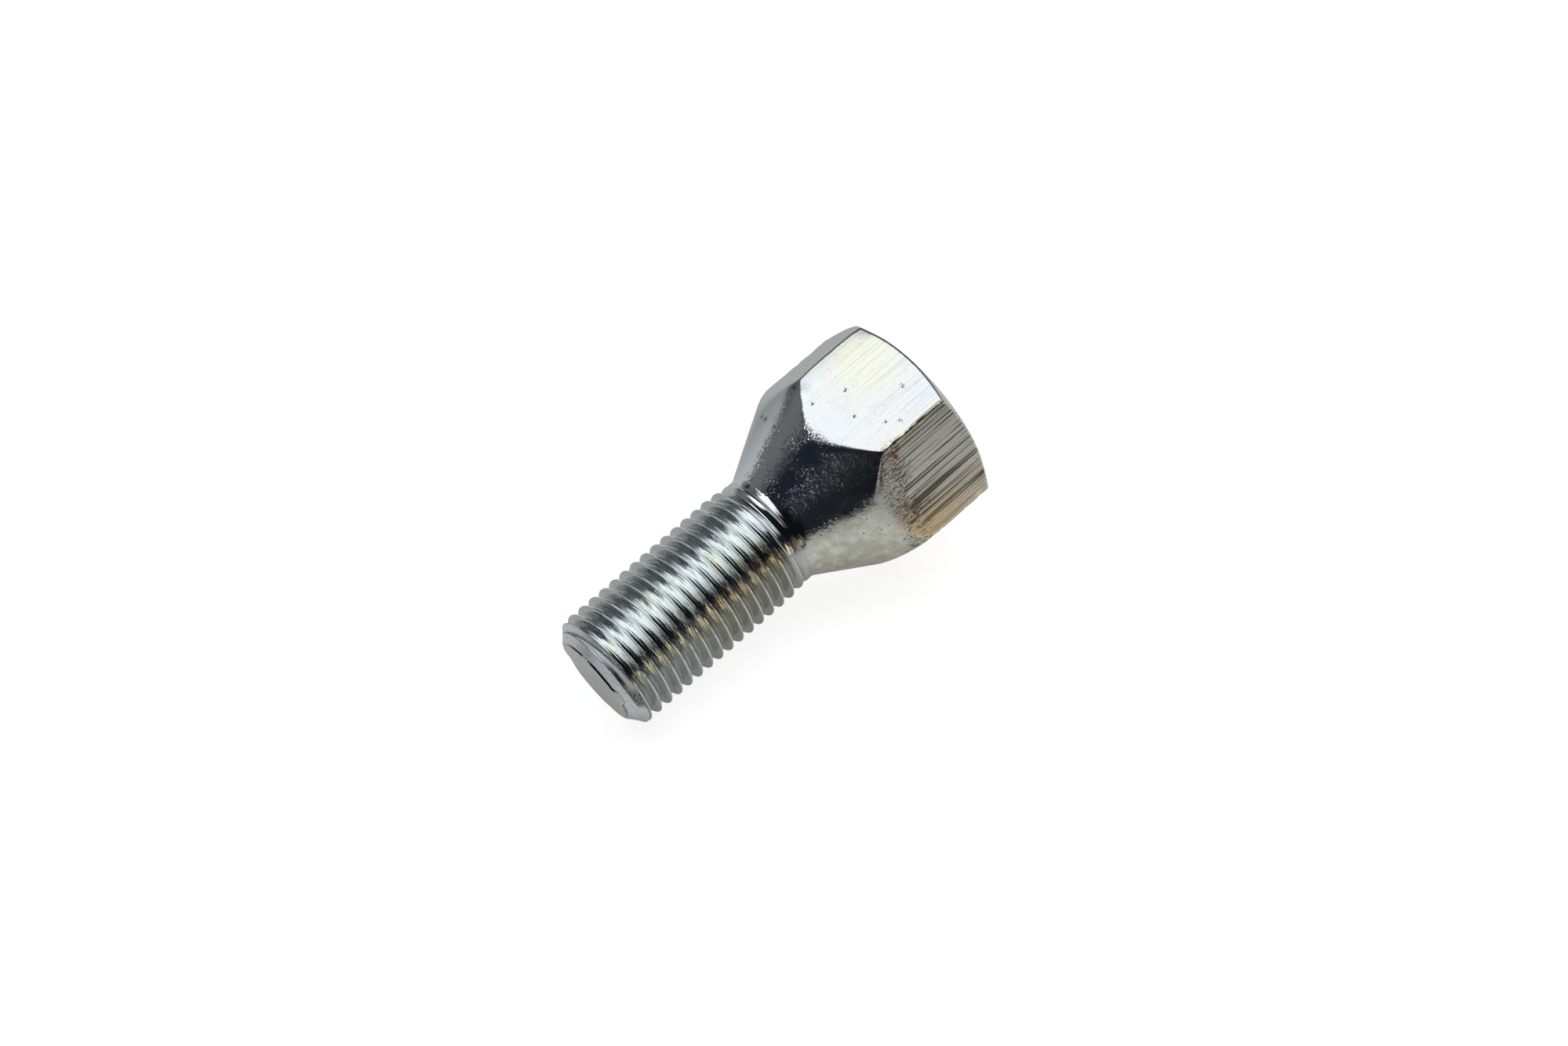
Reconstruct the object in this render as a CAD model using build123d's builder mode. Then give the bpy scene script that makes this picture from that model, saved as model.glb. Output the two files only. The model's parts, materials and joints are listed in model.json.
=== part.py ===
"""Wheel bolt: a hexagon head on a conical seat, with the shank drawn over the crests of its thread.

The bolt lies as it comes to rest, on the end of its shank and on one flat of its head.
"""
import math
import os

from build123d import *

# Driving dimensions, in millimetres and degrees.
thread_size = 12.0
thread_pitch = 1.25
crest_allowance = 0.2
across_flats = 19.0
overall_length = 40.0
shank_length = 22.3
neck_length = 1.3
seat_angle = 60.0
head_chamfer_angle = 30.0
tip_chamfer_angle = 45.0
head_face_ratio = 0.975
neck_round = 1.2
edge_round = 0.4
dish_depth = 0.2

# Radii that follow from them. The blank that the thread is rolled on shows at the neck.
crest_radius = (thread_size - crest_allowance) / 2
blank_radius = (thread_size - 0.6495 * thread_pitch) / 2
tip_chamfer_height = 1.3 * thread_pitch
end_radius = crest_radius - tip_chamfer_height * math.tan(math.radians(tip_chamfer_angle))
dish_radius = 0.8 * end_radius
dish_sphere_radius = (dish_radius**2 + dish_depth**2) / (2 * dish_depth)
flat_radius = across_flats / 2
corner_radius = flat_radius / math.cos(math.pi / 6)
blank_head_radius = 1.05 * corner_radius
face_radius = head_face_ratio * flat_radius
shoulder_round = 0.75 * edge_round

# Heights along the bolt, counted from the end of its shank.
neck_start = shank_length - neck_length
thread_end = neck_start - thread_pitch / 2
seat_slope = math.tan(math.radians(seat_angle / 2))
seat_top = shank_length + (blank_head_radius - blank_radius) / seat_slope
head_chamfer_slope = math.tan(math.radians(head_chamfer_angle))
head_chamfer_start = overall_length - (blank_head_radius - face_radius) * head_chamfer_slope

# The floor touches the rim of the tip chamfer and the rounded shoulder under the lowest flat.
shoulder_height = shank_length + (flat_radius - blank_radius) / seat_slope
round_height = shoulder_height + shoulder_round * math.tan(math.radians(seat_angle / 4))
contact_run = round_height - tip_chamfer_height
contact_rise = flat_radius - shoulder_round - crest_radius
rest_tilt = math.atan2(contact_rise, contact_run)
rest_tilt += math.asin(shoulder_round / math.hypot(contact_run, contact_rise))
tilt_cos = math.cos(rest_tilt)
tilt_sin = math.sin(rest_tilt)

# The floor is at Z 0, and the box of the bolt is centred on the origin with the head towards +X.
box_length = overall_length * tilt_cos + (face_radius + end_radius) * tilt_sin
tip_centre = (
    end_radius * tilt_sin - box_length / 2,
    0,
    crest_radius * tilt_cos - tip_chamfer_height * tilt_sin,
)
along = (tilt_cos, 0, tilt_sin)
upward = (-tilt_sin, 0, tilt_cos)
section_plane = Plane(origin=tip_centre, x_dir=along, z_dir=upward)
hexagon_plane = Plane(origin=tip_centre, x_dir=upward, z_dir=along)
bolt_axis = Axis(tip_centre, along)

os.makedirs("parts", exist_ok=True)

with BuildPart() as wheel_bolt:
    # Half section through the axis, with a round between the neck and the seat, turned full circle.
    with BuildSketch(section_plane) as section:
        with BuildLine():
            RadiusArc((dish_depth, 0), (0, dish_radius), -dish_sphere_radius)
            Polyline(
                (0, dish_radius),
                (0, end_radius),
                (tip_chamfer_height, crest_radius),
                (thread_end, crest_radius),
                (neck_start, blank_radius),
                (shank_length, blank_radius),
                (seat_top, blank_head_radius),
                (head_chamfer_start, blank_head_radius),
                (overall_length, face_radius),
                (overall_length, 0),
                (dish_depth, 0),
            )
        make_face()
        neck_corner = section.vertices().sort_by_distance((shank_length, blank_radius))[0]
        fillet(neck_corner, radius=neck_round)
    revolve(axis=bolt_axis)

    # Hexagon trimmed from the blank, which leaves scallops at both ends of every flat.
    with BuildSketch(hexagon_plane) as hexagon:
        RegularPolygon(radius=flat_radius, side_count=6, major_radius=False, rotation=30)
        fillet(hexagon.vertices(), radius=edge_round)
    extrude(amount=overall_length, mode=Mode.INTERSECT)

    # Rounded shoulder where the flats run out into the seat.
    seat = wheel_bolt.faces().filter_by(GeomType.CONE).sort_by(SortBy.AREA)[-1]
    scallops = seat.edges().filter_by(GeomType.CIRCLE, reverse=True).filter_by(GeomType.LINE, reverse=True)
    fillet(scallops, radius=shoulder_round)

wheel_bolt.part.label = "wheel_bolt"
export_step(wheel_bolt.part, "parts/wheel_bolt.step")
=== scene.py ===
import json
import math

import bpy
import numpy as np
from mathutils import Matrix, Vector


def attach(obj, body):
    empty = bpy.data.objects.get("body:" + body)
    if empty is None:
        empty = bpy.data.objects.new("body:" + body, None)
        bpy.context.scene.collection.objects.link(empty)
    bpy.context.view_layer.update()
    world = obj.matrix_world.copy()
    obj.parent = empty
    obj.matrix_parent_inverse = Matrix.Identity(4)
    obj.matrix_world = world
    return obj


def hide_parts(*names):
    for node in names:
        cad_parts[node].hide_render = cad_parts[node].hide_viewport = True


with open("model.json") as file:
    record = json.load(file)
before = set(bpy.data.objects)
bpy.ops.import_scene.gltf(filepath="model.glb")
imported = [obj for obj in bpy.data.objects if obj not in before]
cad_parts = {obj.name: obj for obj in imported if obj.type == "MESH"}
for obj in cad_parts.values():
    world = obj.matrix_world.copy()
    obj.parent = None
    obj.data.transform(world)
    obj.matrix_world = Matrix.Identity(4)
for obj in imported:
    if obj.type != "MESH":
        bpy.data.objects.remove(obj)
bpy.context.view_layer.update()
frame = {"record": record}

# Sizes of the solid, in millimetres. Heights count from the end of the shank.
MM = 0.001
OVERALL_LENGTH = 40.0
SHANK_LENGTH = 22.3
FLAT_RADIUS = 9.5
CORNER_ROUND = 0.4
FACE_RADIUS = 9.2625
CREST_RADIUS = 5.9
BLANK_RADIUS = 5.594
THREAD_PITCH = 1.25
SEAT_ANGLE = math.radians(30)
CHAMFER_ANGLE = math.radians(30)
SIDES = 6
HALF_SIDE = math.pi / SIDES
FULL_TURN = 2 * math.pi

# Columns of the mesh round the head, counted from a corner next to the floor. The shank has fewer.
HEAD_COLUMNS = 384
COLUMNS_PER_SHANK_COLUMN = 3
FIRST_ANGLE = math.radians(150)
CORNER_CROWDING = 0.55


def unit(vector):
    return np.asarray(vector, float) / np.linalg.norm(vector)


# The bolt's own axes, from the mount on the face of its head. Angles count from the top, towards the right
# as seen from the end of the shank.
HEAD_FACE = next(mount for mount in frame["record"]["mounts"] if mount["name"] == "head_face")
ALONG = unit(HEAD_FACE["axis"])
UPWARD = unit((-ALONG[2], 0, ALONG[0]))
SIDEWAYS = np.cross(ALONG, UPWARD)
TIP = np.array(HEAD_FACE["pos_m"]) / MM - OVERALL_LENGTH * ALONG


def smooth_step(low, high, value):
    """0 at low, 1 at high, smooth between them and level beyond."""
    share = np.clip((value - low) / (high - low), 0, 1)
    return share * share * (3 - 2 * share)


def short_turn(angle, other):
    """Turn from another angle to this one, the short way round."""
    return np.angle(np.exp(1j * (angle - other)))


def bell(angle, middle, width):
    """1 at one angle, falling to 0 on both sides."""
    return np.exp(-((short_turn(angle, middle) / width) ** 2))


def ripple(angle, seed, waves):
    """Uneven wave round the bolt, about -1 to 1, that closes on itself."""
    rng = np.random.default_rng(seed)
    total = sum(np.cos(wave * angle + rng.uniform(0, FULL_TURN)) for wave in waves)
    return total / math.sqrt(2 * len(waves))


def column_angles():
    """Angles of the head's columns, closer together at the corners."""
    columns = np.arange(HEAD_COLUMNS)
    side, share = np.divmod(columns * SIDES / HEAD_COLUMNS, 1)
    share = share - CORNER_CROWDING * np.sin(FULL_TURN * share) / FULL_TURN
    return FIRST_ANGLE + (side + share) * FULL_TURN / SIDES


def from_flat(angle):
    """Turn from the middle of the nearest flat."""
    return np.abs((angle + HALF_SIDE) % (2 * HALF_SIDE) - HALF_SIDE)


def hexagon_radius(angle):
    """Distance from the axis to the hexagon with rounded corners."""
    off_flat = from_flat(angle)
    off_corner = HALF_SIDE - off_flat
    inner = FLAT_RADIUS - CORNER_ROUND
    centre = inner / math.cos(HALF_SIDE)
    flat_ends = math.atan(inner * math.tan(HALF_SIDE) / FLAT_RADIUS)
    reach = np.sqrt(np.maximum(CORNER_ROUND**2 - (centre * np.sin(off_corner)) ** 2, 0))
    on_corner = centre * np.cos(off_corner) + reach
    return np.where(off_flat < flat_ends, FLAT_RADIUS / np.cos(off_flat), on_corner)


class Skin:
    """Vertices of the bolt's surface in its own round coordinates, and the faces between them."""

    def __init__(self):
        self.rows = []
        self.faces = []
        self.count = 0

    def add(self, angle, radius, height, flat=0.0, seat=0.0, thread=0.0, tip=0.0, run=0.0, row=0.0):
        """Adds vertices and returns their numbers.

        flat, seat, thread and tip are shares of those finishes. run and row count along a thread and
        away from its crest, in millimetres.
        """
        columns = np.broadcast_arrays(angle, radius, height, flat, seat, thread, tip, run, row)
        self.rows.append(np.stack([column.ravel() for column in columns], axis=1))
        size = columns[0].size
        numbers = np.arange(self.count, self.count + size).reshape(columns[0].shape)
        self.count += size
        return numbers

    def band(self, lower, upper):
        """Faces between two closed rings, the upper with as many vertices or a whole multiple."""
        per = len(upper) // len(lower)
        for i in range(len(lower)):
            following = (i + 1) % len(lower)
            top = [upper[(i * per + k) % len(upper)] for k in range(per, -1, -1)]
            self.faces.append((lower[i], lower[following], *top))

    def bands(self, rings):
        for lower, upper in zip(rings, rings[1:]):
            self.band(lower, upper)

    def cap(self, centre, ring, outward):
        """Faces between a centre and a closed ring."""
        for i in range(len(ring)):
            pair = (ring[i], ring[(i + 1) % len(ring)])
            self.faces.append((centre, *pair) if outward else (centre, *pair[::-1]))


# Shank end: a wide chamfer round a low round step, sheared off a little askew, with a chipped rim.
END_RADIUS = 4.27
END_MIDDLE = 0.40
END_SLANT = 0.088
END_HIGH_SIDE = math.radians(23)
END_HOLLOW = 0.1
END_WAVE = 0.02
END_SHARES = (0.2, 0.4, 0.6, 0.75, 0.86, 0.94)
RIM_WAVE = 0.02
LIP_WAVE = 0.015
LOWEST_LIP = 0.005
STEP_HEIGHT = 0.16
STEP_LEAST = 0.06
NOTCH_ANGLE = math.radians(-118)
NOTCH_WIDTH = 0.16
NOTCH_IN = 0.15
NOTCH_UP = 0.14
CHIP_START = math.radians(50)
CHIP_END = math.radians(68)
CHIP_BLUR = 0.06
CHIP_SIZE = 0.3
CHAMFER_RADIUS = 4.275
CHAMFER_RINGS = 8
CHAMFER_LEAST = 0.05
CHAMFER_INSET = 0.02
CHAMFER_WAVE = 0.02
CHAMFER_CLEAR = 0.04
# Shares of the tip's finish on the end face and on the chamfer.
ON_END_FACE = 0.5
ON_CHAMFER = 1.0
# Rings over the lip and over the top of the step: outwards, along the bolt, and share of the tip's finish.
LIP_RINGS = ((-0.04, 0.0, ON_END_FACE), (-0.01, 0.01, 0.2), (0.0, 0.03, 0.0))
STEP_RINGS = ((0.005, -0.02, 0.0), (0.02, 0.0, 0.3))
# The start of the thread moves up on the low side, less and less between two heights.
END_LIFT = 0.45
LIFT_HEIGHTS = (2.4, 0.6)
# Level rings that the thread starts from and runs out into.
FIRST_RING = 0.6
LAST_RING = 21.95


def end_height(angle, radius):
    """Height of the sheared end, which stands out most on one side."""
    return END_MIDDLE - END_SLANT * radius * np.cos(angle - END_HIGH_SIDE)


def low_side(angle):
    """0 on the side where the sheared end stands out, and 1 opposite."""
    return (1 - np.cos(angle - END_HIGH_SIDE)) / 2


def lift(angle, height):
    """Moves the start of the thread up on the side where the end is sheared off."""
    return END_LIFT * low_side(angle) * smooth_step(*LIFT_HEIGHTS, height)


def chamfer_radius(height):
    """Radius of the 45 degree end chamfer, which cuts off the start of the thread."""
    return CHAMFER_RADIUS + height


def build_end(skin, angles):
    """The end face, its step and its chamfer, up to the ring under the thread. Returns that ring."""
    turned = short_turn(angles, 0)
    chip = smooth_step(CHIP_START - CHIP_BLUR, CHIP_START, turned)
    chip = chip * smooth_step(CHIP_END + CHIP_BLUR, CHIP_END, turned)
    notch = bell(angles, NOTCH_ANGLE, NOTCH_WIDTH)
    rim = END_RADIUS + RIM_WAVE * ripple(angles, 3, range(2, 15)) + CHIP_SIZE * chip - NOTCH_IN * notch
    lip = end_height(angles, rim) + LIP_WAVE * ripple(angles, 4, range(3, 23))
    lip = np.maximum(lip + CHIP_SIZE * chip + NOTCH_UP * notch, LOWEST_LIP)
    step = STEP_HEIGHT * (1 - chip) * (1 - low_side(angles)) + STEP_LEAST
    top = lip + step

    centre = skin.add(0.0, 0.0, END_MIDDLE + END_HOLLOW, tip=ON_END_FACE)
    rings = []
    for share in END_SHARES:
        hollow = END_HOLLOW * (1 - share**2) + END_WAVE * ripple(angles, 5, range(1, 7)) * share
        lip_share = share**4
        height = end_height(angles, share * rim) * (1 - lip_share) + lip * lip_share + hollow
        rings.append(skin.add(angles, share * rim, height, tip=ON_END_FACE))
    for edge, edge_rings in ((lip, LIP_RINGS), (top, STEP_RINGS)):
        for out, up, finish in edge_rings:
            rings.append(skin.add(angles, rim + out, edge + up, tip=finish))

    raised = lift(angles, FIRST_RING)
    start = np.minimum(top - raised, FIRST_RING - CHAMFER_LEAST)
    for share in np.linspace(0, 1, CHAMFER_RINGS + 1):
        height = start + (FIRST_RING - start) * share
        bow = CHAMFER_WAVE * ripple(angles, 6, range(1, 9)) * (1 - share)
        radius = np.maximum(chamfer_radius(height) - CHAMFER_INSET + bow, rim + CHAMFER_CLEAR)
        radius = np.minimum(radius, chamfer_radius(height + raised))
        rings.append(skin.add(angles, radius, height + raised, tip=ON_CHAMFER))
    skin.cap(centre, rings[0], outward=False)
    skin.bands(rings)
    return rings[-1]


# Thread: a strip whose rows are squeezed together at both ends, where it starts and runs out.
THREAD_DEPTH = 0.84
THREAD_TURNS = 19
STRIP_START = -1.0
THREAD_LOW = 0.85
THREAD_HIGH = 21.4
LOW_GAP = 0.05
HIGH_GAP = 0.1
SQUEEZE_LENGTH = 0.9
RUN_OUT_START = 18.9
RUN_OUT_END = 22.1
RUN_OUT_FINISH = 0.35
# A crest passes this height at this angle.
CREST_HEIGHT = 5.06
CREST_ANGLE = math.radians(23.44 - 90)
WEAR_DEPTH = 0.015
WEAR_TURNS = 7.0
# Width of the border between the finishes of the thread and the chamfer.
CHAMFER_BLUR = 0.16
# Metal pushed over the first groove on one side of the end.
PUSHED_ANGLE = math.radians(105)
PUSHED_WIDTH = 0.6
PUSHED_HEIGHTS = (1.8, 1.6)
PUSHED_GAIN = 1.6
# Half a thread from root to crest: share of the pitch, and share of the depth.
HALF_OFFSETS = np.array([0.0, 0.03, 0.06, 0.10, 0.20, 0.31, 0.395, 0.425, 0.445, 0.465, 0.5])
HALF_DEPTHS = np.array([1.0, 0.985, 0.945, 0.86, 0.61, 0.335, 0.125, 0.055, 0.02, 0.005, 0.0])
ROW_OFFSETS = np.concatenate([HALF_OFFSETS, 1 - HALF_OFFSETS[-2:0:-1]])
ROW_DEPTHS = np.concatenate([HALF_DEPTHS, HALF_DEPTHS[-2:0:-1]])


def squeeze(height):
    """Rows below and above the full thread, drawn in between the rings that they join."""
    lowest = FIRST_RING + LOW_GAP
    highest = LAST_RING - HIGH_GAP
    low = lowest + (THREAD_LOW - lowest) * np.exp(-(THREAD_LOW - height) / SQUEEZE_LENGTH)
    high = highest - (highest - THREAD_HIGH) * np.exp(-(height - THREAD_HIGH) / SQUEEZE_LENGTH)
    return np.where(height < THREAD_LOW, low, np.where(height > THREAD_HIGH, high, height))


def thread_grid(skin, angles):
    """Vertices of a right-hand helical strip, one row of the grid for every step round the bolt."""
    per_turn = len(angles)
    start = CREST_HEIGHT + THREAD_PITCH * ((FIRST_ANGLE - CREST_ANGLE) / FULL_TURN - 0.5)
    start -= THREAD_PITCH * math.ceil((start - STRIP_START) / THREAD_PITCH)
    steps = np.arange(THREAD_TURNS * per_turn + 1)[:, None]
    angle = angles[steps % per_turn]
    turned = angle - FIRST_ANGLE + FULL_TURN * (steps // per_turn)
    height = squeeze(start + THREAD_PITCH * (turned / FULL_TURN + ROW_OFFSETS))

    wear = WEAR_DEPTH * ripple(turned / WEAR_TURNS, 11, range(60, 400, 17)) * (1 - ROW_DEPTHS)
    full = CREST_RADIUS - THREAD_DEPTH * ROW_DEPTHS - np.abs(wear)
    fade = 1 - smooth_step(RUN_OUT_START, RUN_OUT_END, height)
    radius = BLANK_RADIUS + (full - BLANK_RADIUS) * fade
    limit = chamfer_radius(height)
    on_chamfer = np.clip((radius - limit) / CHAMFER_BLUR + 0.5, 0, 1)
    radius = np.minimum(radius, limit)
    pushed = bell(angle, PUSHED_ANGLE, PUSHED_WIDTH) * smooth_step(*PUSHED_HEIGHTS, height)
    pushed = np.clip(PUSHED_GAIN * pushed, 0, 1)
    radius = radius + (np.minimum(limit, CREST_RADIUS) - radius) * pushed
    on_chamfer = np.maximum(on_chamfer, pushed)
    height = height + lift(angle, height)

    threaded = (RUN_OUT_FINISH + (1 - RUN_OUT_FINISH) * fade) * (1 - on_chamfer)
    run = CREST_RADIUS * turned
    row = THREAD_PITCH * np.abs(ROW_OFFSETS - 0.5)
    return skin.add(angle, radius, height, thread=threaded, tip=on_chamfer, run=run, row=row)


def build_thread(skin, angles, first_ring, last_ring):
    """The thread between the ring of the end chamfer and the ring of the neck."""
    grid = thread_grid(skin, angles)
    per_turn = len(angles)
    last = grid.shape[0] - 1
    rows = grid.shape[1]

    def number(step, row):
        """The last row of each turn is the first row of the next."""
        return grid[step, row] if row < rows else grid[step + per_turn, 0]

    for step in range(last):
        reach = rows if step + 1 + per_turn <= last else rows - 1
        for row in range(reach):
            near_side = (number(step, row), number(step + 1, row))
            far_side = (number(step + 1, row + 1), number(step, row + 1))
            skin.faces.append((*near_side, *far_side))
    close_start(skin, grid, first_ring)
    close_end(skin, grid, last_ring)


def close_start(skin, grid, ring):
    """Faces between a level ring and the rising first edge of the strip."""
    per_turn = len(ring)
    for i in range(per_turn - 1):
        skin.faces.append((ring[i], ring[i + 1], grid[i + 1, 0], grid[i, 0]))
    skin.faces.append((ring[-1], ring[0], *grid[0], grid[per_turn, 0], grid[per_turn - 1, 0]))


def close_end(skin, grid, ring):
    """Faces between the rising last edge of the strip and a level ring."""
    per_turn = len(ring)
    edge = grid[-per_turn - 1 :, -1]
    for i in range(per_turn - 1):
        skin.faces.append((edge[i], edge[i + 1], ring[i + 1], ring[i]))
    skin.faces.append((edge[per_turn - 1], *grid[-1, ::-1], edge[0], ring[0], ring[-1]))


# Head: every column is one section from the neck over the seat, the flat and the chamfer.
NECK_START = LAST_RING + 0.15
NECK_ROUND = 0.6
SHOULDER_ROUND_FLAT = 5.6
SHOULDER_ROUND_CORNER = 0.4
SHOULDER_REACH = 0.62
RIM_ROUND = 0.32
FACE_ROUND = 0.3
FACE_SHARES = (0.95, 0.8, 0.6, 0.4, 0.2, 0.08)
NECK_ROWS = 9
SEAT_ROWS = 18
SHOULDER_ROWS = 11
FLAT_ROWS = 48
RIM_ROWS = 5
CHAMFER_ROWS = 5
FACE_ROWS = 4
# Share of the seat's finish on the neck, and shares of the flats' finish on the rim, chamfer and face edge.
NECK_FINISH = 0.5
RIM_FINISH = 0.5
CHAMFER_FINISH = 0.3
FACE_EDGE_FINISH = 0.2
# Directions of the section's straight runs, as steps in height and in radius.
SEAT_WAY = (math.cos(SEAT_ANGLE), math.sin(SEAT_ANGLE))
FLAT_WAY = (1.0, 0.0)
CHAMFER_WAY = (math.sin(CHAMFER_ANGLE), -math.cos(CHAMFER_ANGLE))
FACE_WAY = (0.0, -1.0)

# Slow waves of the forged surface: weight, count round the bolt, turn per millimetre and start.
UNEVEN_DEPTH = 0.02
UNEVEN_FULL = LAST_RING + 2
FORGED_WAVES = ((1.0, 3, 0.5, 1.0), (1.0, 5, -0.9, 2.0), (0.5, 11, 1.7, 0.0), (0.5, 17, -1.3, 4.0))

# Small nicks along the corners, shallower along one of them.
NICKS_PER_CORNER = 12
NICK_DEPTH = 0.07
NICK_SPREAD = 0.012
NICK_HEIGHTS = (31.2, 39.0)
NICK_SMALLEST = 0.10
NICK_LARGEST = 0.30
NICK_STRETCH = (0.5, 1.2)
SOFT_SIDE = 5
SOFT_SHARE = 0.25

# Corners of the head knocked round: angle in degrees, then height and depth in millimetres.
KNOCKS = ((-30, 31.6, 0.14), (-30, 39.4, 0.15))
KNOCK_SIZE = 1.2


def arc(corner_height, corner_radius, before, after, round_radius, points):
    """Heights and radii of a round in a corner between two directions."""
    half_turn = math.acos(np.clip(before[0] * after[0] + before[1] * after[1], -1, 1)) / 2
    tangent = round_radius * math.tan(half_turn)
    heights = []
    radii = []
    for share in np.linspace(0, 1, points):
        # A parabola through the two tangent points stands in for the circle.
        first = (1 - share) ** 2
        last = share**2
        heights.append(corner_height + tangent * (last * after[0] - first * before[0]))
        radii.append(corner_radius + tangent * (last * after[1] - first * before[1]))
    return heights, radii


def uneven(angles, height):
    """Slow waves of a forged surface, from 0 to 1."""
    waves = (weight * np.cos(count * angles + turn * height + start)
             for weight, count, turn, start in FORGED_WAVES)
    return 0.5 + sum(waves) / (2 * sum(wave[0] for wave in FORGED_WAVES))


def nicks(angles, height):
    """Depth of the small nicks scattered along the corners of the head."""
    rng = np.random.default_rng(21)
    depth = np.zeros_like(angles)
    for side in range(SIDES):
        corner = (2 * side + 1) * HALF_SIDE
        softness = SOFT_SHARE if side == SOFT_SIDE else 1
        for _ in range(NICKS_PER_CORNER):
            middle = corner + rng.normal(0, NICK_SPREAD)
            nick_height = rng.uniform(*NICK_HEIGHTS)
            size = rng.uniform(NICK_SMALLEST, NICK_LARGEST)
            away_along = (height - nick_height) * rng.uniform(*NICK_STRETCH)
            distance = np.hypot(short_turn(angles, middle) * FLAT_RADIUS, away_along)
            deepest = NICK_DEPTH * softness * size / NICK_LARGEST
            depth = np.maximum(depth, deepest * np.exp(-((distance / size) ** 2)))
    return depth


def knocks(angles, height):
    """Depth of the knocks that rounded some corners of the head."""
    depth = np.zeros_like(angles)
    for degrees, knock_height, deepest in KNOCKS:
        away_round = short_turn(angles, math.radians(degrees)) * FLAT_RADIUS
        distance = np.hypot(away_round, height - knock_height)
        depth = np.maximum(depth, deepest * np.exp(-((distance / KNOCK_SIZE) ** 2)))
    return depth


class Section:
    """Rows of the head: height, radius, and shares of the flats' and the seat's finish."""

    def __init__(self):
        self.rows = []

    def curve(self, points, flat_shares, seat_shares):
        """Rows through the given heights and radii."""
        self.rows.extend(zip(*points, flat_shares, seat_shares))

    def straight(self, count, points, flat_share, seat_share):
        """Rows between the last row and the first of the points, neither of them repeated."""
        start_height, start_radius = self.rows[-1][:2]
        for share in np.arange(1, count + 1) / (count + 1):
            height = start_height + (points[0][0] - start_height) * share
            radius = start_radius + (points[1][0] - start_radius) * share
            self.rows.append((height, radius, flat_share, seat_share))


def head_section(angles):
    """Rows of the head from the neck to its face, with a value for each column where they differ."""
    flat = hexagon_radius(angles)
    round_share = np.exp(-((from_flat(angles) / HALF_SIDE / SHOULDER_REACH) ** 2))
    shoulder_round = SHOULDER_ROUND_CORNER + (SHOULDER_ROUND_FLAT - SHOULDER_ROUND_CORNER) * round_share
    shoulder_height = SHANK_LENGTH + (flat - BLANK_RADIUS) / math.tan(SEAT_ANGLE)
    rim_height = OVERALL_LENGTH - (flat - FACE_RADIUS) * math.tan(CHAMFER_ANGLE)
    neck = arc(SHANK_LENGTH, BLANK_RADIUS, FLAT_WAY, SEAT_WAY, NECK_ROUND, NECK_ROWS)
    shoulder = arc(shoulder_height, flat, SEAT_WAY, FLAT_WAY, shoulder_round, SHOULDER_ROWS)
    rim = arc(rim_height, flat, FLAT_WAY, CHAMFER_WAY, RIM_ROUND, RIM_ROWS)
    face_edge = arc(OVERALL_LENGTH, FACE_RADIUS, CHAMFER_WAY, FACE_WAY, FACE_ROUND, FACE_ROWS)

    section = Section()
    section.curve(([NECK_START], [BLANK_RADIUS]), [0.0], [NECK_FINISH])
    section.curve(neck, [0.0] * NECK_ROWS, np.linspace(NECK_FINISH, 1, NECK_ROWS))
    section.straight(SEAT_ROWS, shoulder, 0.0, 1.0)
    section.curve(shoulder, np.linspace(0, 1, SHOULDER_ROWS), np.linspace(1, 0, SHOULDER_ROWS))
    section.straight(FLAT_ROWS, rim, 1.0, 0.0)
    section.curve(rim, np.linspace(1, RIM_FINISH, RIM_ROWS), [0.0] * RIM_ROWS)
    section.straight(CHAMFER_ROWS, face_edge, CHAMFER_FINISH, 0.0)
    section.curve(face_edge, [FACE_EDGE_FINISH] * FACE_ROWS, [0.0] * FACE_ROWS)
    for share in FACE_SHARES:
        section.curve(([OVERALL_LENGTH], [FACE_RADIUS * share]), [0.0], [0.0])
    return section


def build_head(skin, angles, first_ring):
    """The neck, the seat, the flats, the chamfer and the face of the head."""
    rings = []
    for height, radius, flat_share, seat_share in head_section(angles).rows:
        dent = UNEVEN_DEPTH * uneven(angles, height) * smooth_step(LAST_RING, UNEVEN_FULL, height)
        dent = dent + nicks(angles, height) * flat_share + knocks(angles, height)
        rings.append(skin.add(angles, radius - dent, height, flat=flat_share, seat=seat_share))
    skin.band(first_ring, rings[0])
    skin.bands(rings)
    centre = skin.add(0.0, 0.0, OVERALL_LENGTH)
    skin.cap(centre, rings[-1], outward=True)


def keep(mesh, name, values):
    """Keeps a number or a vector for every vertex, for the material to read."""
    is_vector = values.ndim > 1
    layer = mesh.attributes.new(name, "FLOAT_VECTOR" if is_vector else "FLOAT", "POINT")
    layer.data.foreach_set("vector" if is_vector else "value", np.ravel(values))


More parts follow.
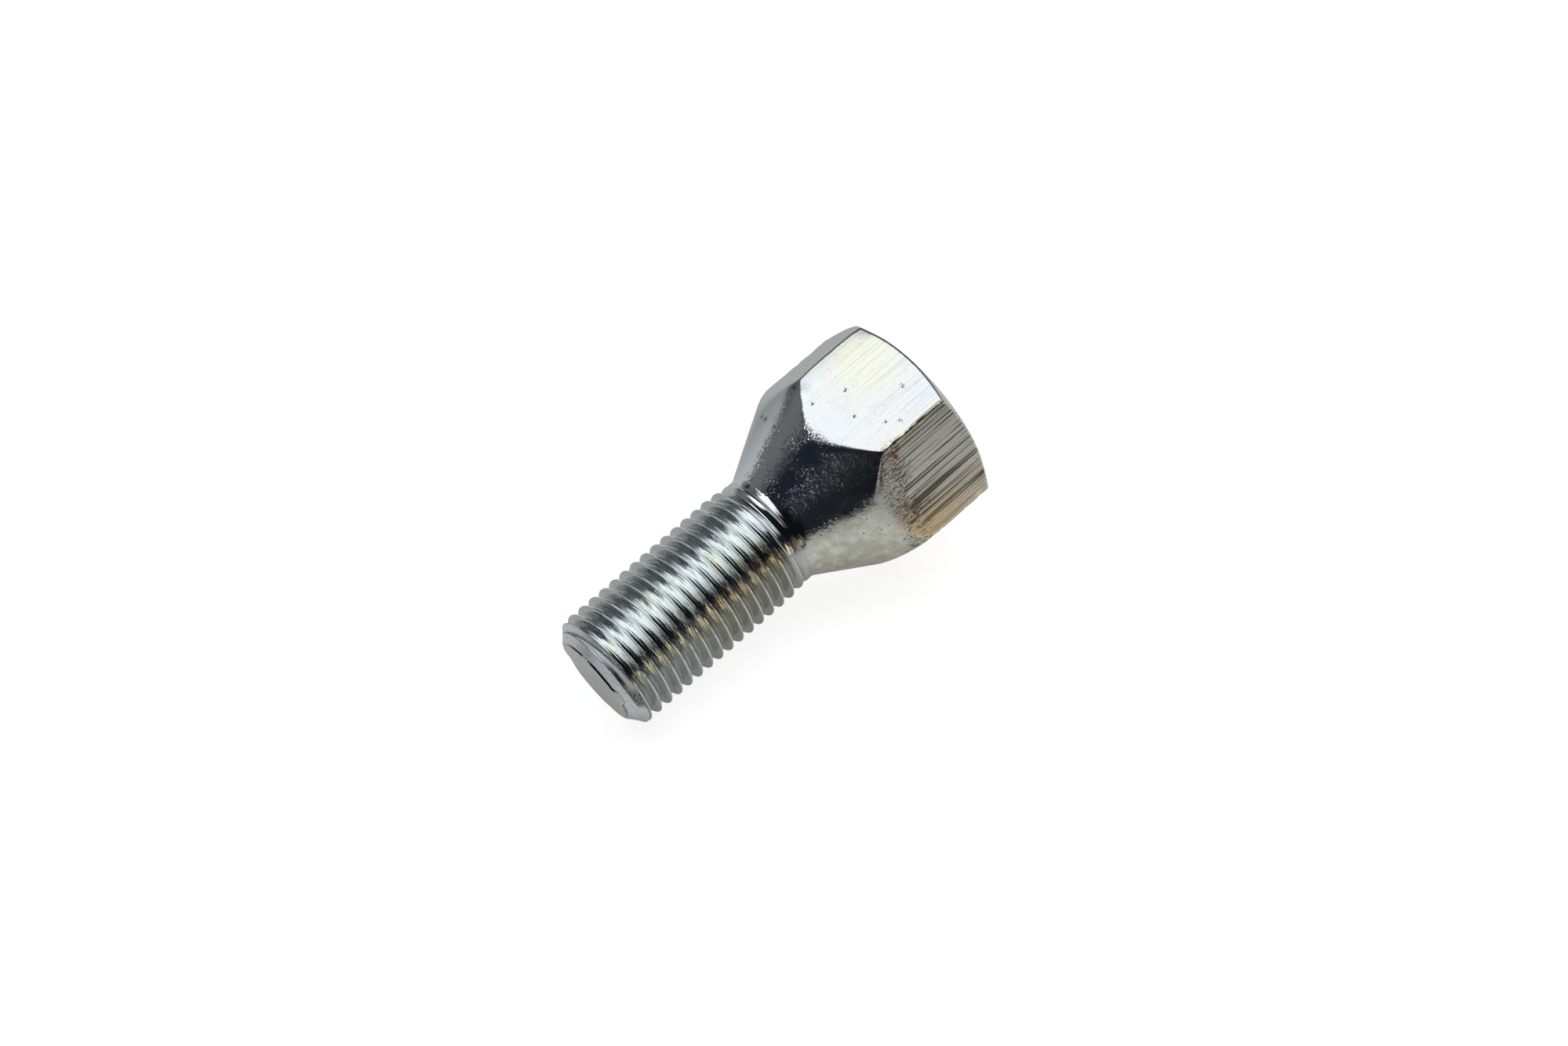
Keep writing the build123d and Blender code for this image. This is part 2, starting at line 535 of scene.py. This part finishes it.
def build_bolt():
    skin = Skin()
    angles = column_angles()
    shank_angles = angles[::COLUMNS_PER_SHANK_COLUMN]
    first_ring = build_end(skin, shank_angles)
    last_ring = skin.add(shank_angles, BLANK_RADIUS, LAST_RING, seat=NECK_FINISH)
    build_thread(skin, shank_angles, first_ring, last_ring)
    build_head(skin, angles, last_ring)

    angle, radius, height, flat, seat, thread, tip, run, row = np.concatenate(skin.rows).T
    own = np.stack([radius * np.cos(angle), radius * np.sin(angle), height], axis=1)
    points = TIP + own @ np.stack([UPWARD, SIDEWAYS, ALONG])
    mesh = bpy.data.meshes.new("wheel_bolt_dressed")
    mesh.from_pydata((points * MM).tolist(), [], skin.faces)
    mesh.validate()
    mesh.shade_smooth()
    keep(mesh, "bolt_mm", own)
    keep(mesh, "round_way", np.cos(angle)[:, None] * SIDEWAYS - np.sin(angle)[:, None] * UPWARD)
    keep(mesh, "thread_mm", np.stack([run, row, 0 * row], axis=1))
    for name, shares in (("flat", flat), ("seat", seat), ("thread", thread), ("tip", tip)):
        keep(mesh, name, shares)
    bolt = bpy.data.objects.new("wheel_bolt_dressed", mesh)
    bpy.context.collection.objects.link(bolt)
    return bolt


class Nodes:
    """Short calls for the nodes of one tree."""

    def __init__(self, tree):
        self.tree = tree

    def put(self, socket, value):
        if isinstance(value, bpy.types.NodeSocket):
            self.tree.links.new(value, socket)
        else:
            socket.default_value = value

    def add(self, kind, inputs=(), **settings):
        node = self.tree.nodes.new("ShaderNode" + kind)
        for name, value in settings.items():
            setattr(node, name, value)
        for socket, value in dict(inputs).items():
            self.put(node.inputs[socket], value)
        return node

    def attribute(self, name, output="Fac"):
        return self.add("Attribute", attribute_name=name).outputs[output]

    def math(self, operation, *values):
        return self.add("Math", enumerate(values), operation=operation).outputs[0]

    def chain(self, operation, first, *others):
        for other in others:
            first = self.math(operation, first, other)
        return first

    def product(self, *values):
        return self.chain("MULTIPLY", *values)

    def total(self, *values):
        return self.chain("ADD", *values)

    def most(self, *values):
        return self.chain("MAXIMUM", *values)

    def centred(self, noise):
        """A noise of 0 to 1, moved to -0.5 to 0.5."""
        return self.math("SUBTRACT", noise, 0.5)

    def stretch(self, vector, scale):
        return self.add("VectorMath", [(0, vector), (1, scale)], operation="MULTIPLY").outputs[0]

    def length(self, vector):
        return self.add("VectorMath", {0: vector}, operation="LENGTH").outputs["Value"]

    def noise(self, vector, scale, detail=2.0, roughness=0.5):
        inputs = {"Vector": vector, "Scale": scale, "Detail": detail, "Roughness": roughness}
        return self.add("TexNoise", inputs).outputs["Fac"]

    def stretched_noise(self, vector, stretch, detail=2.0, roughness=0.5):
        return self.noise(self.stretch(vector, stretch), 1.0, detail, roughness)

    def spots(self, vector, scale):
        """Distance to the nearest of many scattered points."""
        return self.add("TexVoronoi", {"Vector": vector, "Scale": scale}).outputs["Distance"]

    def span(self, value, low, high, low_to=0.0, high_to=1.0):
        """value from low to high, smoothly turned into low_to to high_to."""
        inputs = {0: value, 1: low, 2: high, 3: low_to, 4: high_to}
        return self.add("MapRange", inputs, interpolation_type="SMOOTHSTEP").outputs[0]

    def blend(self, share, first, second):
        """Colour between two others."""
        node = self.add("Mix", data_type="RGBA")
        self.put(node.inputs[0], share)
        for socket, value in ((node.inputs[6], first), (node.inputs[7], second)):
            self.put(socket, value if isinstance(value, bpy.types.NodeSocket) else (*value, 1.0))
        return node.outputs[2]

    def near(self, place, centre, inner, outer):
        """1 within the inner distance of a point, falling to 0 at the outer distance."""
        distance = self.add("VectorMath", {0: place, 1: centre}, operation="DISTANCE").outputs["Value"]
        return self.span(distance, outer, inner)

    def world_way(self, name):
        """A direction kept on the mesh, turned with the object."""
        inputs = {0: self.attribute(name, "Vector")}
        settings = {"vector_type": "VECTOR", "convert_from": "OBJECT", "convert_to": "WORLD"}
        return self.add("VectorTransform", inputs, **settings).outputs[0]

    def scatter(self, vector, scale, detail):
        """A direction that changes from place to place, each part about -0.5 to 0.5."""
        inputs = {"Vector": vector, "Scale": scale, "Detail": detail, "Roughness": 0.6}
        colour = self.add("TexNoise", inputs).outputs["Color"]
        return self.add("VectorMath", {0: colour, 1: (0.5, 0.5, 0.5)}, operation="SUBTRACT").outputs[0]

    def shifted(self, vector, way, amount):
        """A place or direction moved some way along another direction."""
        shift = self.add("VectorMath", {0: way, "Scale": amount}, operation="SCALE").outputs[0]
        return self.add("VectorMath", {0: vector, 1: shift}, operation="ADD").outputs[0]

    def lean(self, normal, way, amount):
        """normal leaned towards a direction."""
        leaned = self.shifted(normal, way, amount)
        return self.add("VectorMath", {0: leaned}, operation="NORMALIZE").outputs[0]

    def bump(self, height, depth, normal):
        """Bump from a height of 0 to 1 that stands for a depth in millimetres."""
        inputs = {"Height": height, "Distance": depth * MM, "Normal": normal}
        return self.add("Bump", inputs).outputs["Normal"]


# Colours of the plating and of what lies on it, with colours for painted shade and painted highlights.
ZINC = (0.83, 0.83, 0.82)
ZINC_BLUE = (0.81, 0.83, 0.85)
ZINC_GREY = (0.66, 0.67, 0.70)
ZINC_STAINED = (0.86, 0.85, 0.71)
SEAT_OLIVE = (0.80, 0.80, 0.68)
SEAT_PALE = (0.95, 0.95, 0.88)
SEAT_DULL = (0.66, 0.66, 0.54)
THREAD_TEAL = (0.89, 0.94, 0.95)
THREAD_OLIVE = (0.92, 0.91, 0.76)
THREAD_BROWN = (0.76, 0.68, 0.52)
# Painted shade on the sides of the thread, also used for its fine dark streak lines.
THREAD_SHADE_AND_STREAKS = (0.37, 0.40, 0.37)
# Painted highlight along the crests of the thread.
CREST_HIGHLIGHT = (0.95, 0.95, 0.93)
TIP_PALE = (0.92, 0.92, 0.95)
TIP_FACE = (0.86, 0.86, 0.78)
TIP_GREY = (0.62, 0.62, 0.64)
# Painted shade on the far left side of the flats and of the seat.
PAINTED_SIDE_SHADE = (0.46, 0.49, 0.47)
PAINTED_SEAT_SIDE_SHADE = (0.30, 0.33, 0.33)
# Painted shade for the right of the neck.
NECK_PAINTED_SHADE = (0.16, 0.15, 0.13)
FLAT_BROWN = (0.88, 0.85, 0.71)
GRAIN_BROWN = (0.34, 0.28, 0.19)
GOLD = (1.00, 0.75, 0.45)
# Dirt, also used for a darker chamfer border and for painted shade on the step at the end of the shank.
DIRT_AND_SHADE = (0.05, 0.05, 0.05)
RUST = (0.35, 0.10, 0.05)

# Cycles per millimetre of the noises: across and along the bolt, or along and across a thread.
LINE_STRETCH = (4.6, 4.6, 0.05)
DASH_STRETCH = (4.5, 4.5, 1.3)
TINT_STRETCH = (0.5, 0.5, 0.35)
STREAK_STRETCH = (0.55, 17.0, 1.0)
FINE_STREAK_STRETCH = (0.4, 26.0, 1.0)
GRAIN_SCALE = 6.5
FLAKE_SCALE = 4.5
PIT_SCALE = 1.7
MOTTLE_SCALE = 0.9
PATCH_SCALE = 0.45
ZINC_SCALE = 0.16

# Where finishes and painted shade begin and are full, in millimetres: to the right of the axis, or along the
# bolt.
RIGHT_SIDE = (4.6, 5.6)
SHADED_SIDE = (-3.5, -7.0)
OLIVE_SIDE = (1.5, 5.0)
GOLD_SIDE = (8.2, 10.4)
GOLD_HEIGHTS = (38.0, 32.0)
LINED_HEIGHTS = (32.5, 37.0)
LINED_RIGHT_HEIGHTS = (30.5, 32.0)
UNDER_HEIGHTS = (29.0, 30.5)
UNDER_ENDS = (33.5, 31.5)
BROWN_SIDE = (2.0, 4.5)
BROWN_HEIGHTS = (8.0, 13.0)
# Painted shade on the thread: where it begins and is full, right and left of the top.
THREAD_SHADE_RIGHT = (0.6, 3.2)
THREAD_SHADE_LEFT = (-1.2, -3.6)
NECK_HEIGHTS = (20.6, 21.4)
NECK_ENDS = (23.4, 22.7)
NECK_SIDE = (0.8, 2.0)
NECK_SIDE_ENDS = (5.0, 4.0)
FLAKED_RIGHT = (4.5, -2.0)
FLAKED_LEFT = (-5.5, -3.5)
# Painted highlight on the crests: gone at the first distance from the crest in millimetres, full at the
# second.
CREST_HIGHLIGHT_REACH = (0.08, 0.03)
BORDER_RADII = (4.6, 4.8)
STEP_INSIDE = (4.0, 4.1)
STEP_OUTSIDE = (4.75, 4.65)
STEP_TOP = (1.6, 1.4)
# How far, in millimetres, the ends of the drawn lines and of the browned thread wander.
RAGGED_ENDS = 8.0
BROWN_WANDER = 6.0

# Depths of the bumps in millimetres, and how far the normals lean.
BUMP_DEPTH = 0.03
STREAK_LEAN = 0.9
LINE_LEAN = 0.15
FLAKE_LEAN = 0.8

# Marks on the bolt, as places across (towards the top and the right) and along it in millimetres.
STAIN_PLACE = (9.5, -2.6, 36.8)
STAIN_REACH = (1.0, 5.2)
SPECKS = (
    (9.5, -2.6, 30.5),
    (9.5, -1.5, 33.6),
    (9.5, 1.0, 32.3),
    (9.5, 3.4, 33.9),
    (9.5, 4.2, 34.9),
    (9.5, 1.8, 37.5),
)
SPECK_REACH = (0.03, 0.20)
GOUGES = ((4.3, 8.5, 31.1), (3.1, 9.2, 31.5), (2.6, 9.5, 31.6), (6.2, -6.0, 27.5), (5.5, -6.7, 27.7))
RUST_SPOTS = ((9.0, -5.3, 30.6), (5.0, -2.6, 22.0), (8.3, 6.2, 32.5))
SPOT_REACH = (0.1, 0.40)
# How the edges of marks are roughened: cycles per millimetre, detail, and reach in millimetres.
ROUGH_EDGE = (3.0, 3.0, 0.6)
TORN_EDGE = (5.0, 2.0, 0.9)


class Plating:
    """Zinc plating with drawn flats, a flaked seat, a streaked rolled thread and scattered marks."""

    def __init__(self, nodes):
        self.nodes = nodes
        self.place = nodes.attribute("bolt_mm", "Vector")
        parts = nodes.add("SeparateXYZ", {0: self.place}).outputs
        self.side = parts["Y"]
        self.height = parts["Z"]
        along_thread = nodes.attribute("thread_mm", "Vector")
        self.from_crest = nodes.add("SeparateXYZ", {0: along_thread}).outputs["Y"]
        self.flat = nodes.attribute("flat")
        self.seat = nodes.attribute("seat")
        self.thread = nodes.attribute("thread")
        self.tip = nodes.attribute("tip")

        # Lines from the tool that trimmed the flats, and streaks along the thread, left by rolling.
        self.lines = nodes.stretched_noise(self.place, LINE_STRETCH, 2.0, 0.6)
        self.streaks = nodes.stretched_noise(along_thread, STREAK_STRETCH, 3.0, 0.6)
        self.fine_streaks = nodes.stretched_noise(along_thread, FINE_STREAK_STRETCH)
        self.grain = nodes.noise(self.place, GRAIN_SCALE, 3.0, 0.6)
        self.mottle = nodes.noise(self.place, MOTTLE_SCALE, 5.0, 0.65)
        self.patches = nodes.noise(self.place, PATCH_SCALE, 4.0, 0.6)

        self.right_side = nodes.span(self.side, *RIGHT_SIDE)
        wander = nodes.product(nodes.centred(self.mottle), RAGGED_ENDS)
        self.ragged_height = nodes.total(self.height, wander)
        self.rough_place = self.roughened(*ROUGH_EDGE)
        self.torn_place = self.roughened(*TORN_EDGE)
        self.lined = self.lined_area()
        self.under = self.under_lines()
        self.pits = self.pit_depth()

    def roughened(self, scale, detail, reach):
        """The place, pushed to and fro so that marks get uneven edges."""
        return self.nodes.shifted(self.place, self.nodes.scatter(self.place, scale, detail), reach)

    def lined_area(self):
        """Where the lines are: over the upper part of the flats, and all over the flat on the right."""
        nodes = self.nodes
        upper = nodes.span(self.ragged_height, *LINED_HEIGHTS, 0.2, 0.8)
        right = nodes.product(self.right_side, nodes.span(self.ragged_height, *LINED_RIGHT_HEIGHTS))
        return nodes.product(nodes.most(upper, right), self.flat)

    def under_lines(self):
        """The grainy strip under the lines of the flat on the right."""
        nodes = self.nodes
        begins = nodes.span(self.height, *UNDER_HEIGHTS)
        return nodes.product(self.right_side, begins, nodes.span(self.ragged_height, *UNDER_ENDS))

    def pit_depth(self):
        """Pits in patches, mostly on the right of the seat, with the specks and gouges."""
        nodes = self.nodes
        uneven_spots = nodes.total(nodes.spots(self.place, PIT_SCALE), nodes.product(self.grain, 0.2))
        pitted = nodes.most(nodes.product(self.seat, self.right_side), 0.15)
        in_patches = nodes.span(self.patches, 0.45, 0.55)
        pits = nodes.product(nodes.span(uneven_spots, 0.30, 0.20), in_patches, pitted)
        for speck in SPECKS:
            pits = nodes.most(pits, nodes.near(self.torn_place, speck, *SPECK_REACH))
        for gouge in GOUGES:
            pits = nodes.most(pits, nodes.near(self.rough_place, gouge, *SPOT_REACH))
        return pits

    def zinc_colour(self):
        """Grey and bluish zinc, with a yellow stain on the top flat."""
        nodes = self.nodes
        colour = nodes.blend(nodes.span(nodes.noise(self.place, ZINC_SCALE), 0.40, 0.55), ZINC_BLUE, ZINC)
        colour = nodes.blend(nodes.span(self.mottle, 0.50, 0.38, 0.0, 0.4), colour, ZINC_GREY)
        stain = nodes.near(self.place, STAIN_PLACE, *STAIN_REACH)
        stain = nodes.product(stain, nodes.span(self.mottle, 0.30, 0.5, 0.3, 1.0), self.flat)
        return nodes.blend(stain, colour, ZINC_STAINED)

    def seat_colour(self):
        """Bluish at the top, mottled olive on the right."""
        nodes = self.nodes
        colour = nodes.blend(nodes.span(self.side, *OLIVE_SIDE), ZINC_BLUE, SEAT_OLIVE)
        pale = nodes.product(nodes.span(self.mottle, 0.5, 0.7), self.right_side)
        colour = nodes.blend(pale, colour, SEAT_PALE)
        dull = nodes.product(nodes.span(self.mottle, 0.52, 0.40), self.right_side)
        return nodes.blend(dull, colour, SEAT_DULL)

    def tip_colour(self):
        """A pale chamfer round a yellowish end face, with grey grain."""
        nodes = self.nodes
        colour = nodes.blend(nodes.span(self.tip, 0.55, 0.9), TIP_FACE, TIP_PALE)
        return nodes.blend(nodes.span(self.grain, 0.55, 0.40, 0.0, 0.6), colour, TIP_GREY)

    def thread_colour(self):
        """Teal to olive, brown towards the head on the right, with painted shade on both sides of the thread
        broken up by streaks, fine dark streak lines, and a painted highlight along the crests.
        """
        nodes = self.nodes
        tint = nodes.stretched_noise(self.place, TINT_STRETCH, 3.0)
        colour = nodes.blend(nodes.span(tint, 0.54, 0.70), THREAD_TEAL, THREAD_OLIVE)
        brown_side = nodes.total(self.side, nodes.product(nodes.centred(tint), BROWN_WANDER))
        browned = nodes.product(nodes.span(brown_side, *BROWN_SIDE), nodes.span(self.height, *BROWN_HEIGHTS))
        colour = nodes.blend(nodes.product(browned, 0.8), colour, THREAD_BROWN)
        # Painted shade: the thread is darkened on both sides of its lit top, broken up by the streaks. The
        # fine streaks add real dark lines.
        dull = nodes.most(nodes.span(self.side, *THREAD_SHADE_RIGHT), nodes.span(self.side, *THREAD_SHADE_LEFT))
        dull = nodes.product(dull, nodes.span(self.streaks, 0.35, 0.65, 0.85, 0.50))
        dull = nodes.most(dull, nodes.span(self.fine_streaks, 0.44, 0.34, 0.0, 0.7))
        colour = nodes.blend(dull, colour, THREAD_SHADE_AND_STREAKS)
        # Painted highlight: a pale line along each crest, kept bright through the painted shade.
        return nodes.blend(nodes.span(self.from_crest, *CREST_HIGHLIGHT_REACH), colour, CREST_HIGHLIGHT)

    def browned(self, colour):
        """The flat on the right: brownish, grainy under its lines and golden at its lower edge."""
        nodes = self.nodes
        brown = nodes.product(nodes.span(self.side, *RIGHT_SIDE, 0.0, 0.8), self.flat)
        colour = nodes.blend(brown, colour, FLAT_BROWN)
        grainy = nodes.product(self.under, nodes.span(self.grain, 0.45, 0.6))
        colour = nodes.blend(grainy, colour, GRAIN_BROWN)
        golden = nodes.span(self.height, *GOLD_HEIGHTS, 0.35, 1.0)
        golden = nodes.product(nodes.span(self.side, *GOLD_SIDE), golden, self.flat)
        return nodes.blend(golden, colour, GOLD)

    def neck_shade(self):
        """Painted shade on the right of the neck, darkening the reflection there."""
        nodes = self.nodes
        along = nodes.product(nodes.span(self.height, *NECK_HEIGHTS), nodes.span(self.height, *NECK_ENDS))
        across = nodes.span(self.side, *NECK_SIDE_ENDS, 0.0, 0.8)
        return nodes.product(along, nodes.span(self.side, *NECK_SIDE), across)

    def dirt_and_step_shade(self):
        """Dirt in the pits and the lines, in dashes under the lines, a darker line where the chamfer meets
        the thread, and painted shade on the wall of the step at the end.
        """
        nodes = self.nodes
        on_right = nodes.span(self.right_side, 0, 1, 0.2, 0.8)
        dark_lines = nodes.product(nodes.span(self.lines, 0.50, 0.40), self.lined, on_right)
        dashes = nodes.span(nodes.stretched_noise(self.place, DASH_STRETCH), 0.46, 0.38, 0.0, 0.7)
        from_axis = nodes.length(nodes.stretch(self.place, (1, 1, 0)))
        # A darker line along the border between the chamfer and the thread.
        tip_border = nodes.product(nodes.span(self.tip, 0.05, 0.3), nodes.span(self.tip, 1.0, 0.7))
        tip_border = nodes.product(tip_border, nodes.span(from_axis, *BORDER_RADII))
        # Painted shade: a dark line on the wall of the step at the end, standing in for the dark room it
        # reflects.
        step_wall = nodes.product(nodes.span(self.tip, 0.30, 0.10), nodes.span(self.height, *STEP_TOP))
        step_ring = nodes.product(nodes.span(from_axis, *STEP_INSIDE), nodes.span(from_axis, *STEP_OUTSIDE))
        borders = nodes.most(tip_border, nodes.product(step_wall, step_ring))
        borders = nodes.product(borders, nodes.span(self.grain, 0.35, 0.6, 0.95, 0.5))
        dashes = nodes.product(self.under, dashes)
        return nodes.most(nodes.product(self.pits, 0.8), dark_lines, dashes, borders)

    def colour(self):
        nodes = self.nodes
        colour = nodes.blend(self.seat, self.zinc_colour(), self.seat_colour())
        # Painted shade: the far left side is darkened towards grey, more on the seat.
        painted_grey_shade = nodes.blend(self.seat, PAINTED_SIDE_SHADE, PAINTED_SEAT_SIDE_SHADE)
        colour = nodes.blend(nodes.span(self.side, *SHADED_SIDE, 0.0, 0.75), colour, painted_grey_shade)
        colour = nodes.blend(nodes.span(self.tip, 0.0, 0.5), colour, self.tip_colour())
        colour = nodes.blend(self.thread, colour, self.thread_colour())
        colour = self.browned(colour)
        # Painted shade on the right of the neck.
        colour = nodes.blend(self.neck_shade(), colour, NECK_PAINTED_SHADE)
        # Dirt, with painted shade on the step at the end.
        colour = nodes.blend(self.dirt_and_step_shade(), colour, DIRT_AND_SHADE)
        for spot in RUST_SPOTS:
            colour = nodes.blend(nodes.near(self.rough_place, spot, *SPOT_REACH), colour, RUST)
        return colour

    def normal(self):
        """Leans round the bolt along streaks and lines, sparkles on the seat, and dips in the pits."""
        nodes = self.nodes
        way = nodes.world_way("round_way")
        normal = nodes.add("NewGeometry").outputs["Normal"]
        streaked = nodes.product(nodes.centred(self.streaks), self.thread, STREAK_LEAN)
        normal = nodes.lean(normal, way, streaked)
        normal = nodes.lean(normal, way, nodes.product(nodes.centred(self.lines), self.lined, LINE_LEAN))
        flaked = nodes.product(nodes.span(self.side, *FLAKED_RIGHT, 0.2, 1.0), self.seat)
        flaked = nodes.product(flaked, nodes.span(self.side, *FLAKED_LEFT), FLAKE_LEAN)
        flaked = nodes.product(flaked, nodes.span(self.patches, 0.40, 0.60, 0.3, 1.0))
        normal = nodes.lean(normal, nodes.scatter(self.place, FLAKE_SCALE, 2.0), flaked)
        grainy = nodes.product(self.grain, nodes.most(self.tip, 0.25))
        mottled = nodes.product(self.mottle, nodes.most(self.seat, 0.1))
        for height in (grainy, mottled, nodes.product(self.pits, -1.0)):
            normal = nodes.bump(height, BUMP_DEPTH, normal)
        return normal

    def roughness(self):
        """Glossy, duller on the flats and dull on the tip."""
        nodes = self.nodes
        glossy = nodes.span(self.mottle, 0.3, 0.7, 0.07, 0.15)
        dull_tip = nodes.product(nodes.span(self.tip, 0.0, 0.5), 0.22)
        return nodes.total(glossy, nodes.product(self.flat, 0.10), dull_tip)


def plating_material():
    material = bpy.data.materials.new("zinc plating")
    material.use_nodes = True
    nodes = Nodes(material.node_tree)
    plating = Plating(nodes)
    shader = material.node_tree.nodes["Principled BSDF"]
    shader.inputs["Metallic"].default_value = 1.0
    nodes.put(shader.inputs["Base Color"], plating.colour())
    nodes.put(shader.inputs["Roughness"], plating.roughness())
    nodes.put(shader.inputs["Normal"], plating.normal())
    return material


bolt = build_bolt()
bolt.data.materials.append(plating_material())
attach(bolt, "root")
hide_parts("wheel_bolt")

# Floor, in metres: white where the bolt lies, shaded by the lamp, and darker further off.
FLOOR_HALF = 3.0
FLOOR_COLOUR = (0.9, 0.9, 0.9, 1)
FLOOR_GLOW = 0.81
FLOOR_IN_METAL = 0.20
FLOOR_NEAR = 0.095
FLOOR_FAR = 0.25
FAR_SHARE = 0.3


def floor_material():
    material = bpy.data.materials.new("paper floor")
    material.use_nodes = True
    nodes = Nodes(material.node_tree)
    material.node_tree.nodes.remove(material.node_tree.nodes["Principled BSDF"])
    rays = nodes.add("LightPath").outputs
    in_metal = nodes.product(rays["Is Glossy Ray"], FLOOR_IN_METAL)
    seen = nodes.most(rays["Is Camera Ray"], in_metal, rays["Is Transmission Ray"])
    distance = nodes.length(nodes.add("TexCoord").outputs["Object"])
    near = nodes.span(distance, FLOOR_NEAR, FLOOR_FAR, 1.0, FAR_SHARE)
    emission = nodes.add("Emission", {"Strength": nodes.product(seen, near, FLOOR_GLOW)})
    diffuse = nodes.add("BsdfDiffuse", {"Color": FLOOR_COLOUR})
    both = nodes.add("AddShader", {0: emission.outputs[0], 1: diffuse.outputs[0]})
    nodes.put(material.node_tree.nodes["Material Output"].inputs["Surface"], both.outputs[0])
    return material


floor_mesh = bpy.data.meshes.new("floor")
corners = [(x * FLOOR_HALF, y * FLOOR_HALF, 0) for x, y in ((-1, -1), (1, -1), (1, 1), (-1, 1))]
floor_mesh.from_pydata(corners, [], [(0, 1, 2, 3)])
floor_mesh.materials.append(floor_material())
floor = bpy.data.objects.new("floor", floor_mesh)
bpy.context.collection.objects.link(floor)

# Light: one wide softbox overhead in a dim room with a few pale walls.
ROOM = (0.012, 0.015, 0.022)
HORIZON = 0.05
# Each wall: direction, the angles in degrees within which it is full and past which it is gone, and colour.
WALLS = (
    ((0.19, 0.62, 0.76), 5, 15, (0.16, 0.17, 0.18)),
    ((-0.98, -0.05, 0.12), 18, 30, (0.54, 0.53, 0.60)),
    ((0.10, 0.93, 0.34), 12, 30, (0.10, 0.115, 0.125)),
    ((-0.35, 0.93, 0.12), 10, 42, (0.15, 0.155, 0.16)),
    ((0.30, -0.95, 0.05), 10, 28, (0.04, 0.037, 0.033)),
    ((-0.25, -0.95, 0.20), 6, 14, (0.40, 0.38, 0.46)),
    ((0.24, -0.94, 0.22), 2, 7, (1.3, 1.05, 0.72)),
    ((0.60, -0.77, 0.18), 4, 12, (2.4, 1.95, 1.35)),
)
SOFTBOX_WAY = (0.12, 0.115, 0.57)
SOFTBOX_DISTANCE = 0.594
SOFTBOX_WIDTH = 1.3
SOFTBOX_DEPTH = 0.44
SOFTBOX_RADIANCE = 1.16
SOFTBOX_COLOUR = (0.96, 0.99, 1.0)


def room():
    world = bpy.data.worlds.new("studio")
    world.use_nodes = True
    nodes = Nodes(world.node_tree)
    way = nodes.add("TexCoord").outputs["Generated"]
    light = ROOM
    for direction, inner, outer, colour in WALLS:
        facing = nodes.add("VectorMath", {0: way, 1: tuple(unit(direction))}, operation="DOT_PRODUCT")
        limits = (math.cos(math.radians(outer)), math.cos(math.radians(inner)))
        light = nodes.blend(nodes.span(facing.outputs["Value"], *limits), light, colour)
    height = nodes.add("SeparateXYZ", {0: way}).outputs["Z"]
    light = nodes.blend(nodes.span(height, HORIZON / 2, HORIZON), ROOM, light)
    nodes.put(world.node_tree.nodes["Background"].inputs["Color"], light)
    return world


def add_softbox():
    lamp = bpy.data.lights.new("softbox", "AREA")
    lamp.shape = "RECTANGLE"
    lamp.size = SOFTBOX_WIDTH
    lamp.size_y = SOFTBOX_DEPTH
    lamp.energy = SOFTBOX_RADIANCE * math.pi * SOFTBOX_WIDTH * SOFTBOX_DEPTH
    lamp.color = SOFTBOX_COLOUR
    way = Vector(unit(SOFTBOX_WAY))
    softbox = bpy.data.objects.new("softbox", lamp)
    softbox.location = way * SOFTBOX_DISTANCE
    softbox.rotation_euler = way.to_track_quat("Z", "Y").to_euler()
    bpy.context.collection.objects.link(softbox)


bpy.context.scene.world = room()
add_softbox()

# Camera, where the photograph was taken from.
CAMERA_PLACE = Vector((-0.174918, -0.17806, 0.39885))
CAMERA_FORWARD = Vector((0.38327, 0.38287, -0.84054))
CAMERA_RIGHT = Vector((0.73339, -0.67935, 0.02497))
CAMERA_LENS = 117.06
CAMERA_SENSOR = 36

camera_data = bpy.data.cameras.new("camera")
camera_data.lens = CAMERA_LENS
camera_data.sensor_width = CAMERA_SENSOR
camera_data.clip_start = 0.01
camera = bpy.data.objects.new("camera", camera_data)
camera_up = CAMERA_RIGHT.cross(CAMERA_FORWARD)
turn = Matrix((CAMERA_RIGHT, camera_up, -CAMERA_FORWARD)).transposed()
camera.matrix_world = Matrix.Translation(CAMERA_PLACE) @ turn.to_4x4()
bpy.context.collection.objects.link(camera)
bpy.context.scene.camera = camera
bpy.context.scene.view_settings.view_transform = "Standard"
